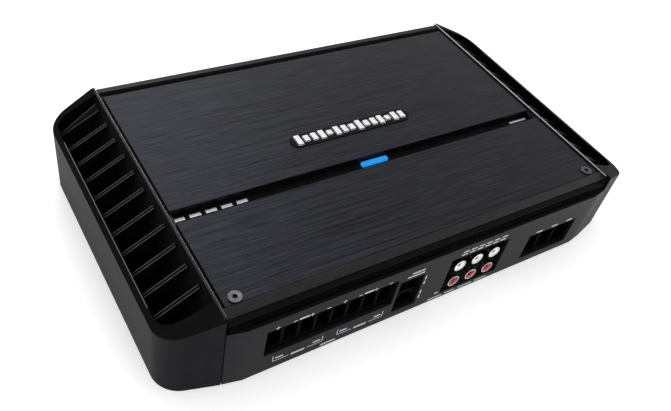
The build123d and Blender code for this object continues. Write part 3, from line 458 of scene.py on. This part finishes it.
def capacitor_sleeve():
    """Dark shrunk sleeve with fine wrinkles."""
    f = Finish("capacitor_sleeve", Metallic=0.0, Coat_Weight=0.3, Coat_Roughness=0.2)
    wrinkle = f.noise(180.0, 4.0, (1.0, 1.0, 5.0))
    f.colour(wrinkle, (0.010, 0.016, 0.032), (0.022, 0.034, 0.062))
    f.roughness(wrinkle, 0.24, 0.36)
    f.relief(wrinkle, 0.00008, 0.35)
    return f.material


def pale_floor():
    """Pale floor with a little light coming up through it."""
    stage = bpy.context.scene.amplifier_stage
    f = Finish("pale_studio_floor", Metallic=0.0, Specular_IOR_Level=0.2)
    cloud = f.noise(3.0, 3.0)
    f.colour(cloud, shade(stage.floor_colour, 0.985), stage.floor_colour)
    f.colour(cloud, (0.97, 0.97, 0.97), (1.0, 1.0, 1.0), socket="Emission Color")
    f.shader.inputs["Emission Strength"].default_value = stage.floor_glow
    f.roughness(cloud, 0.65, 0.75)
    return f.material


FINISH_OF_SLOT = {
    "cast_deck": cast_coat,
    "textured_casting": texture_coat,
    "panel_finish": panel_coat,
    "brushed_plate": brushed_plate,
    "steel_screw": screw_steel,
    "badge_metal": chrome,
    "light_lens": glow,
    "board_green": circuit_board,
    "bottom_sheet": bottom_coat,
    "zinc_steel": zinc_plate,
    "black_moulding": black_moulding,
    "plated_brass": clamp_plate,
    "nickel": nickel,
    "white_insert": white_moulding,
    "red_insert": red_moulding,
    "control_sheet": control_sheet,
    "pot_blue": pot_moulding,
    "knob_black": knob_moulding,
    "copper_winding": copper_winding,
    "capacitor_sleeve": capacitor_sleeve,
    "pad_grey": silicone_pad,
}
_made = {}


def finish(maker):
    """The material that maker builds, made once."""
    if maker not in _made:
        _made[maker] = maker()
    return _made[maker]


# ------------------------------------------------------------------ mesh helpers
def fin_top(x):
    """Height of the fins' sloping tops, in millimetres, at a distance x from the middle."""
    return FIN_INNER_TOP - FIN_SLOPE * (x - FIN_INNER_X)


def settle(name, bm, body, materials, smooth_angle=32.0, stands_for=()):
    """Turns bm into a piece: smooth shaded up to an angle, riding on its body."""
    mesh = bpy.data.meshes.new(name)
    bmesh.ops.recalc_face_normals(bm, faces=bm.faces)
    for face in bm.faces:
        face.smooth = True
    bm.to_mesh(mesh)
    bm.free()
    mesh.set_sharp_from_angle(angle=math.radians(smooth_angle))
    for material in materials:
        mesh.materials.append(material)
    piece = bpy.data.objects.new(name, mesh)
    bpy.context.scene.collection.objects.link(piece)
    level = piece.modifiers.new("weighted_normals", "WEIGHTED_NORMAL")
    level.keep_sharp = True
    level.weight = 60
    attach(piece, body)
    if stands_for:
        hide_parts(*stands_for)
    return piece


def eased(node, name, width, segments=2, weld=0.002, corner=25.0, pick=None, materials=None):
    """A piece in the CAD node's shape with its sharp edges rounded by width millimetres."""
    bm = bmesh.new()
    bm.from_mesh(NODES[node].data)
    bmesh.ops.remove_doubles(bm, verts=bm.verts, dist=weld * MM)
    bmesh.ops.dissolve_limit(bm, angle_limit=math.radians(0.6), verts=bm.verts, edges=bm.edges)
    edges = [e for e in bm.edges if len(e.link_faces) == 2 and e.calc_face_angle(0.0) > math.radians(corner)]
    bmesh.ops.bevel(
        bm, geom=edges, offset=width * MM, offset_type="OFFSET", segments=segments,
        profile=0.5, affect="EDGES", clamp_overlap=True,
    )
    lo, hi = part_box(node)
    for vert in bm.verts:
        vert.co = Vector(max(a, min(b, c)) for a, b, c in zip(lo, hi, vert.co))
    for face in bm.faces:
        face.material_index = pick(face.calc_center_median(), face.normal) if pick else 0
    slot = SLOT_OF[node]
    own = materials or [finish(FINISH_OF_SLOT[slot])]
    return settle(name, bm, BODY_OF[node], own, stands_for=(node,))


def add_bar(bm, low, high, ease=0.0):
    """A bar between two corners, with its edges eased."""
    size = Vector(b - a for a, b in zip(low, high))
    middle = (Vector(low) + Vector(high)) / 2
    shape = Matrix.Translation(middle) @ Matrix.Diagonal((*size, 1.0))
    made = bmesh.ops.create_cube(bm, size=1.0, matrix=shape)
    if ease:
        edges = list({e for v in made["verts"] for e in v.link_edges})
        bmesh.ops.bevel(
            bm, geom=edges, offset=ease, segments=2, profile=0.5, affect="EDGES", clamp_overlap=True
        )


def bars(name, boxes, body, material, ease=0.0):
    """One piece of several bars, each (low corner, high corner)."""
    bm = bmesh.new()
    for low, high in boxes:
        add_bar(bm, low, high, ease)
    return settle(name, bm, body, [material])


def add_strip(bm, start, end, width, rise):
    """A thin strip laid along a straight edge, rising a little above it."""
    start, end = Vector(start), Vector(end)
    across = (end - start).cross(Vector((0.0, 0.0, 1.0))).normalized() * (width / 2)
    up = Vector((0.0, 0.0, rise))
    verts = [bm.verts.new(p + s * across + h * up) for p in (start, end) for h in (-1, 1) for s in (-1, 1)]
    for corners in ((0, 2, 3, 1), (4, 5, 7, 6), (0, 1, 5, 4), (2, 6, 7, 3), (0, 4, 6, 2), (1, 3, 7, 5)):
        bm.faces.new([verts[i] for i in corners])


def panel_marks(marks, thickness):
    """Boxes on the connector panel from (x0, z0, x1, z1) in millimetres."""
    y = PANEL_FACE
    return [((x0 * MM, y, z0 * MM), (x1 * MM, y + thickness, z1 * MM)) for x0, z0, x1, z1 in marks]


# ------------------------------------------------------------------ settings
class AmplifierCase(bpy.types.PropertyGroup):
    edge: FloatProperty(
        name="Edge radius", description="Rounding on the deck and panels, in millimetres",
        default=0.3, min=0.05, max=1.0
    )
    cap_edge: FloatProperty(
        name="Cap edge radius", description="Rounding on the end caps, in millimetres",
        default=0.55, min=0.1, max=2.0
    )
    plate_colour: FloatVectorProperty(
        name="Plate colour", description="Anodised top plates", subtype="COLOR", size=3,
        default=(0.0185, 0.0190, 0.0236)
    )
    cast_colour: FloatVectorProperty(
        name="Deck colour", description="Coating on the deck casting", subtype="COLOR", size=3,
        default=(0.010, 0.010, 0.0105),
    )
    cap_colour: FloatVectorProperty(
        name="Cap colour", description="Coating on the end caps", subtype="COLOR", size=3,
        default=(0.0042, 0.0043, 0.0056)
    )
    panel_colour: FloatVectorProperty(
        name="Panel colour", description="Connector and rear panels", subtype="COLOR", size=3,
        default=(0.0062, 0.0064, 0.0080),
    )


class AmplifierLight(bpy.types.PropertyGroup):
    glow_colour: FloatVectorProperty(
        name="Glow colour", description="Light bar in the groove", subtype="COLOR", size=3,
        default=(0.016, 0.33, 0.92)
    )
    glow_strength: FloatProperty(
        name="Glow strength", description="Brightness of the light bar", default=0.95, min=0.0, max=10.0
    )


class AmplifierPrints(bpy.types.PropertyGroup):
    ink_colour: FloatVectorProperty(
        name="Ink colour", description="Printed marks", subtype="COLOR", size=3, default=(0.55, 0.56, 0.58)
    )
    thickness: FloatProperty(
        name="Ink thickness", description="How far a mark stands off its panel",
        default=0.00004, unit="LENGTH"
    )
    ticks: IntProperty(name="Dial ticks", description="Marks round each dial", default=11, min=3, max=31)


class AmplifierStage(bpy.types.PropertyGroup):
    floor_colour: FloatVectorProperty(
        name="Floor colour", description="Pale studio floor", subtype="COLOR", size=3,
        default=(0.93, 0.93, 0.93)
    )
    floor_glow: FloatProperty(
        name="Floor glow", description="Light coming up through the floor", default=0.20, min=0.0, max=1.0
    )
    sky: FloatProperty(
        name="Sky strength", description="Even light from all round", default=0.98, min=0.0, max=5.0
    )
    back_light: FloatProperty(
        name="Back light", description="Softbox behind and above", default=5.0, min=0.0, unit="POWER"
    )
    side_light: FloatProperty(
        name="Side light", description="Softbox at the right", default=1.6, min=0.0, unit="POWER"
    )
    front_light: FloatProperty(
        name="Front light", description="Softbox at the front left", default=2.5, min=0.0, unit="POWER"
    )


# ------------------------------------------------------------------ pieces
class AMPLIFIER_OT_deck(bpy.types.Operator):
    """Deck casting with painted highlights on its lip edges and painted shade in its groove and under its
    nose
    """

    bl_idname = "amplifier.deck"
    bl_label = "Deck casting"

    def execute(self, context):
        case = context.scene.amplifier_case

        def surface(middle, normal):
            """0 coat, 1 painted highlight on a lip edge, 2 painted shade in the groove and under the nose.
            """
            out = abs(middle.x) - LIP_INNER
            if middle.z > PLATE_TOP + 0.3 * MM and -0.1 * MM < out < 0.45 * MM:
                return 1
            in_groove = COVER[1].y - 0.5 * MM < middle.y < PLATE[0].y + 0.5 * MM
            if in_groove and out < 0.0 and middle.z < PLATE_TOP - 0.5 * MM:
                return 2
            under_nose = middle.y < COVER[0].y + 0.2 * MM and middle.z < PLATE_TOP - 1.0 * MM
            return 2 if under_nose and middle.z > PANEL[1].z - 12.0 * MM else 0

        # The lip edges take the bright lip material as a painted highlight; the groove and the nose undercut
        # take the dead black groove material as painted shade.
        eased(
            "heat_sink", "deck_casting", case.edge * 0.8, pick=surface,
            materials=[finish(cast_coat), finish(lip_painted_highlight), finish(groove_painted_shade)],
        )
        return {"FINISHED"}


class AMPLIFIER_OT_plates(bpy.types.Operator):
    """Rear plate and control cover, brushed along the length"""

    bl_idname = "amplifier.plates"
    bl_label = "Brushed plates"

    def execute(self, context):
        eased("rear_plate", "brushed_rear_plate", 0.12)
        eased("control_cover", "brushed_control_cover", 0.12)
        eased("cover_screws", "cover_screw_heads", 0.08)
        return {"FINISHED"}


class AMPLIFIER_OT_end_caps(bpy.types.Operator):
    """Finned end caps with painted shade in the pockets and painted highlights on the fin and rim edges"""

    bl_idname = "amplifier.end_caps"
    bl_label = "End caps"

    def execute(self, context):
        case = context.scene.amplifier_case
        lo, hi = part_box("end_cap_right")
        rear = hi.y - CAP_REAR_LAND
        front = lo.y + CAP_FRONT_LAND

        def surface(middle, normal):
            """0 outer coat, 1 painted shade in a pocket, 2 painted highlight on a fin or rim edge."""
            out = abs(middle.x)
            inward = -normal.x if middle.x > 0.0 else normal.x
            across = lo.x + 0.4 * MM < out < hi.x - CAP_WALL + 0.15 * MM
            in_pocket = across and front < middle.y < rear
            # Outside the pocket only the rim's inner slope takes the painted highlight; inside it the fin
            # tops take the painted highlight and the rest painted shade.
            if not in_pocket or middle.z < CAP_FLOOR:
                on_rim = out < hi.x - CAP_WALL + 0.8 * MM and inward > 0.3 and normal.z > 0.3
                return 2 if on_rim and middle.z > 30.0 * MM and front < middle.y < rear else 0
            if middle.z > FIN_TOP_LOW and normal.z > 0.3 and abs(normal.y) > 0.25:
                return 2
            return 1

        for side in ("left", "right"):
            eased(
                f"end_cap_{side}", f"end_cap_casting_{side}", case.cap_edge,
                segments=3, weld=0.25, pick=surface,
                materials=[finish(texture_coat), finish(pocket_painted_shade), finish(edge_painted_highlight)],
            )
        # Thin strips along the fin tops and along the rim carry the edge material as painted highlights.
        rim_x = hi.x - CAP_WALL + 0.3 * MM
        rim_z = DECK[1].z - RIM_DROP
        for side, name in ((-1, "left"), (1, "right")):
            bm = bmesh.new()
            for i in range(FIN_COUNT):
                y = FIN_FIRST_Y - i * FIN_PITCH
                widened = GUSSET_WIDTH if i == 0 else FIN_EDGE
                for near, far in ((y - FIN_EDGE, y - FIN_EDGE), (y + widened, y + FIN_EDGE)):
                    run = zip(FIN_RUN, (near, far))
                    ends = [(side * x * MM, at * MM, fin_top(x) * MM) for x, at in run]
                    add_strip(bm, *ends, 0.42 * MM, 0.05 * MM)
            ends = [(side * rim_x, y, rim_z) for y in (-RIM_HALF_LENGTH, RIM_HALF_LENGTH)]
            add_strip(bm, *ends, 0.5 * MM, 0.3 * MM)
            settle(f"fin_and_rim_painted_highlights_{name}", bm, "case", [finish(edge_painted_highlight)])
        return {"FINISHED"}


class AMPLIFIER_OT_panels(bpy.types.Operator):
    """Connector panel, rear panel and bottom cover"""

    bl_idname = "amplifier.panels"
    bl_label = "Panels"

    def execute(self, context):
        case = context.scene.amplifier_case

        def shaded_top(middle, normal):
            return int(normal.z > 0.6 and middle.z > PANEL[1].z - 2.0 * MM)

        # The panel's top face, under the nose, takes the dead black groove material as painted shade.
        eased(
            "connector_panel", "connector_panel_moulding", case.edge, pick=shaded_top,
            materials=[finish(panel_coat), finish(groove_painted_shade)],
        )
        eased("rear_panel", "rear_panel_moulding", case.edge)
        eased("bottom_cover", "bottom_cover_sheet", 0.15)
        eased("bottom_screws", "bottom_screw_heads", 0.1)
        return {"FINISHED"}


class AMPLIFIER_OT_emblem(bpy.types.Operator):
    """Plain emblem of raised bars on a dark backing"""

    bl_idname = "amplifier.emblem"
    bl_label = "Emblem"

    def execute(self, context):
        backing_top = PLATE_TOP + 0.65 * MM

        def metal(middle, normal):
            return int(middle.z > backing_top)

        eased(
            "badge", "bar_emblem", 0.18, segments=3, pick=metal,
            materials=[finish(badge_back), finish(chrome)],
        )
        return {"FINISHED"}


class AMPLIFIER_OT_groove(bpy.types.Operator):
    """Light bar and the plain marks in the groove"""

    bl_idname = "amplifier.groove"
    bl_label = "Groove and light"

    def execute(self, context):
        eased("light_pipe", "light_bar", 0.15)
        floor = GROOVE_FLOOR
        front = COVER[1].y
        marks = []
        long, wide = GROOVE_BAR
        for i in range(GROOVE_BARS):
            x = GROOVE_BAR_START + GROOVE_BAR_PITCH * i
            low = (x * MM, front + GROOVE_BAR_SETBACK * MM, floor)
            high = ((x + long) * MM, front + (GROOVE_BAR_SETBACK + wide) * MM, floor + GROOVE_MARK_RISE)
            marks.append((low, high))
        low = (GROOVE_DASH[0] * MM, front + 5.0 * MM, floor)
        high = (GROOVE_DASH[1] * MM, front + 6.6 * MM, floor + GROOVE_MARK_RISE)
        marks.append((low, high))
        bars("groove_marks", marks, "case", finish(silver_print), 0.06 * MM)
        return {"FINISHED"}


class AMPLIFIER_OT_speaker_terminals(bpy.types.Operator):
    """Speaker terminal block, its clamps and set screws"""

    bl_idname = "amplifier.speaker_terminals"
    bl_label = "Speaker terminals"

    def execute(self, context):
        eased("speaker_terminal_block", "speaker_block_moulding", 0.2)
        eased("speaker_clamps", "speaker_clamp_blocks", 0.25)
        eased("speaker_clamp_screws", "speaker_set_screws", 0.1)
        return {"FINISHED"}


class AMPLIFIER_OT_power_terminals(bpy.types.Operator):
    """Supply terminal block, its clamps and set screws"""

    bl_idname = "amplifier.power_terminals"
    bl_label = "Supply terminals"

    def execute(self, context):
        eased("power_terminal_block", "power_block_moulding", 0.2)
        eased("power_clamps", "power_clamp_blocks", 0.3)
        eased("power_clamp_screws", "power_set_screws", 0.1)
        return {"FINISHED"}


class AMPLIFIER_OT_phono_sockets(bpy.types.Operator):
    """Six phono sockets on their block"""

    bl_idname = "amplifier.phono_sockets"
    bl_label = "Phono sockets"

    def execute(self, context):
        eased("rca_block", "phono_block_moulding", 0.2)
        eased("rca_shells", "phono_shells", 0.12)
        eased("rca_inserts_white", "phono_inserts_white", 0.15)
        eased("rca_inserts_red", "phono_inserts_red", 0.15)
        return {"FINISHED"}


class AMPLIFIER_OT_link_sockets(bpy.types.Operator):
    """Modular level socket and the speaker-level input header"""

    bl_idname = "amplifier.link_sockets"
    bl_label = "Level and input sockets"

    def execute(self, context):
        eased("remote_level_jack", "level_socket_moulding", 0.15)
        eased("input_header", "input_header_moulding", 0.15)
        return {"FINISHED"}


class AMPLIFIER_OT_controls(bpy.types.Operator):
    """Dials, slide switches and the printed plate under the cover"""

    bl_idname = "amplifier.controls"
    bl_label = "Controls"

    def execute(self, context):
        prints = context.scene.amplifier_prints
        eased("control_plate", "control_plate_sheet", 0.06)
        ink = finish(white_print)
        for node in KNOBS:
            eased(node, node + "_cap", 0.12)
            lo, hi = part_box(node)
            middle = (lo + hi) / 2
            pointer = ((middle.x - 0.3 * MM, middle.y + 1.2 * MM, hi.z - 0.02 * MM),
                       (middle.x + 0.3 * MM, middle.y + 3.9 * MM, hi.z + 0.03 * MM))
            bars(node + "_pointer", [pointer], BODY_OF[node], ink)
        for node in LEVERS:
            eased(node, node + "_lever", 0.15)
        bm = bmesh.new()
        top = WELL[1].z
        for node in KNOBS:
            lo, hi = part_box(node)
            middle = (lo + hi) / 2
            for i in range(prints.ticks):
                angle = math.radians(-140.0 + 280.0 * i / (prints.ticks - 1))
                turn = Matrix.Translation((middle.x, middle.y, top)) @ Matrix.Rotation(-angle, 4, "Z")
                long = 1.1 if i % 5 == 0 else 0.7
                made = bmesh.ops.create_cube(bm, size=1.0)
                shape = Matrix.Translation((0.0, (5.1 + long / 2) * MM, 0.0)) @ Matrix.Diagonal(
                    (0.22 * MM, long * MM, 2 * prints.thickness, 1.0)
                )
                bmesh.ops.transform(bm, matrix=turn @ shape, verts=made["verts"])
        for node in KNOBS + LEVERS:
            lo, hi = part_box(node)
            x = (lo.x + hi.x) / 2
            low = (x - 3.2 * MM, WELL[0].y + 1.0 * MM, top)
            high = (x + 3.2 * MM, WELL[0].y + 1.7 * MM, top + prints.thickness)
            add_bar(bm, low, high)
        settle("control_scales", bm, "case", [ink])
        return {"FINISHED"}


class AMPLIFIER_OT_printed_marks(bpy.types.Operator):
    """Plain marks on the connector panel: polarity signs, brackets and dashes"""

    bl_idname = "amplifier.printed_marks"
    bl_label = "Printed marks"

    def execute(self, context):
        marks = []
        for i in range(8):
            x = -106.35 + 9.9 * i
            marks.append((x - 1.2, 36.65, x + 1.2, 37.15))
            if i % 2 == 0:
                marks.append((x - 0.25, 35.7, x + 0.25, 38.1))
        marks += [(-94.2, 36.5, -88.2, 37.7), (-54.4, 36.5, -48.6, 37.7)]
        for left, right in ((-106.3, -75.6), (-66.4, -35.6)):
            middle = (left + right) / 2
            marks += [
                (left, 6.4, left + 0.45, 11.4),
                (left, 6.4, left + 9.6, 6.85),
                (middle - 4.2, 6.0, middle + 4.2, 7.3),
                (right - 9.6, 6.4, right, 6.85),
                (right - 0.45, 6.4, right, 11.4),
                (left + 1.7, 8.5, left + 6.3, 9.6),
                (right - 6.3, 8.5, right - 1.7, 9.6),
            ]
        marks += [(-76.2, 2.4, -66.6, 3.5)]
        marks += [(-22.6, 37.2, -13.6, 38.2), (-25.4, 34.8, -13.4, 35.8)]
        marks += [(-10.9, z, -10.0, z + 3.0) for z in (27.2, 22.8, 14.2, 9.8)]
        for row, z in enumerate((38.6, 36.3)):
            marks += [(13.8 + 6.0 * i - row * 0.7, z, 18.3 + 6.0 * i - row * 0.7, z + 1.0) for i in range(6)]
        marks += [(2.6, 6.4, 5.6, 7.4)]
        marks += [(-1.4, 2.2, 9.6, 3.1), (12.0, 2.2, 19.8, 3.1)]
        marks += [(22.6, 2.2, 33.6, 3.1), (36.0, 2.2, 45.6, 3.1)]
        marks += [(x - 2.6, 28.6, x + 2.6, 29.7) for x in (80.0, 93.4, 106.8)]
        thickness = context.scene.amplifier_prints.thickness
        boxes = panel_marks(marks, thickness)
        boxes = [((a[0], a[1] - thickness, a[2]), (b[0], b[1], b[2])) for a, b in boxes]
        bars("connector_marks", boxes, "case", finish(white_print))
        return {"FINISHED"}


class AMPLIFIER_OT_inner_parts(bpy.types.Operator):
    """Boards, power stage and fasteners inside the case, in their own finishes"""

    bl_idname = "amplifier.inner_parts"
    bl_label = "Inner parts"

    def execute(self, context):
        for node, piece in NODES.items():
            if piece.hide_render:
                continue
            piece.material_slots[0].material = finish(FINISH_OF_SLOT[SLOT_OF[node]])
        return {"FINISHED"}


class AMPLIFIER_OT_stage(bpy.types.Operator):
    """Pale floor, soft lights and the camera"""

    bl_idname = "amplifier.stage"
    bl_label = "Stage"

    def execute(self, context):
        scene = context.scene
        stage = scene.amplifier_stage
        bm = bmesh.new()
        bmesh.ops.create_grid(bm, x_segments=8, y_segments=8, size=6.0)
        mesh = bpy.data.meshes.new("studio_floor")
        bm.to_mesh(mesh)
        bm.free()
        mesh.materials.append(finish(pale_floor))
        floor = bpy.data.objects.new("studio_floor", mesh)
        floor.location.z = CAD_BOX[0].z - 0.05 * MM
        scene.collection.objects.link(floor)

        world = bpy.data.worlds.new("studio_sky")
        world.use_nodes = True
        world.node_tree.nodes["Background"].inputs["Color"].default_value = (1.0, 1.0, 1.0, 1.0)
        world.node_tree.nodes["Background"].inputs["Strength"].default_value = stage.sky
        scene.world = world

        aim = Vector((0.0, 0.0, 0.03))
        for name, place, width, height, power in (
            ("softbox_back", (0.12, 0.85, 0.95), 0.6, 0.9, stage.back_light),
            ("softbox_side", (0.9, -0.25, 0.45), 0.5, 0.6, stage.side_light),
            ("softbox_front", (-0.8, -0.7, 0.9), 0.7, 0.7, stage.front_light),
        ):
            lamp = bpy.data.lights.new(name, "AREA")
            lamp.shape = "RECTANGLE"
            lamp.size = width
            lamp.size_y = height
            lamp.energy = power
            holder = bpy.data.objects.new(name, lamp)
            holder.location = place
            holder.rotation_euler = (aim - Vector(place)).to_track_quat("-Z", "Y").to_euler()
            scene.collection.objects.link(holder)

        right = Vector((0.84046415, -0.51511329, 0.16816156))
        down = Vector((-0.2663129, -0.66294123, -0.69970449))
        ahead = Vector((0.47190831, 0.54329295, -0.69435965))
        turn = Matrix((right, -down, -ahead)).transposed().to_4x4()
        lens = bpy.data.cameras.new("main_camera")
        lens.sensor_width = 36.0
        lens.lens = 38.31
        lens.clip_start = 0.01
        lens.clip_end = 50.0
        camera = bpy.data.objects.new("main_camera", lens)
        camera.matrix_world = Matrix.Translation((-0.2326, -0.2622, 0.3280)) @ turn
        scene.collection.objects.link(camera)
        scene.camera = camera
        scene.view_settings.view_transform = "Standard"
        scene.view_settings.look = "None"
        return {"FINISHED"}


OPERATORS = (
    AMPLIFIER_OT_deck,
    AMPLIFIER_OT_plates,
    AMPLIFIER_OT_end_caps,
    AMPLIFIER_OT_panels,
    AMPLIFIER_OT_emblem,
    AMPLIFIER_OT_groove,
    AMPLIFIER_OT_speaker_terminals,
    AMPLIFIER_OT_power_terminals,
    AMPLIFIER_OT_phono_sockets,
    AMPLIFIER_OT_link_sockets,
    AMPLIFIER_OT_controls,
    AMPLIFIER_OT_printed_marks,
    AMPLIFIER_OT_inner_parts,
    AMPLIFIER_OT_stage,
)


class AMPLIFIER_PT_builder(bpy.types.Panel):
    """Lists the pieces of the amplifier and their settings"""

    bl_idname = "AMPLIFIER_PT_builder"
    bl_label = "Amplifier"
    bl_space_type = "VIEW_3D"
    bl_region_type = "UI"
    bl_category = "Amplifier"

    def draw(self, context):
        for name in SETTINGS:
            group = getattr(context.scene, name)
            box = self.layout.box()
            for key in group.__annotations__:
                box.prop(group, key)
        for operator in OPERATORS:
            self.layout.operator(operator.bl_idname)


SETTINGS = {
    "amplifier_case": AmplifierCase,
    "amplifier_light": AmplifierLight,
    "amplifier_prints": AmplifierPrints,
    "amplifier_stage": AmplifierStage,
}
CLASSES = (*SETTINGS.values(), *OPERATORS, AMPLIFIER_PT_builder)


def register():
    for cls in CLASSES:
        bpy.utils.register_class(cls)
    for name, group in SETTINGS.items():
        setattr(bpy.types.Scene, name, PointerProperty(type=group))


def unregister():
    for name in SETTINGS:
        delattr(bpy.types.Scene, name)
    for cls in reversed(CLASSES):
        bpy.utils.unregister_class(cls)


def main():
    register()
    for operator in OPERATORS:
        section, call = operator.bl_idname.split(".")
        getattr(getattr(bpy.ops, section), call)()


if __name__ == "__main__":
    main()
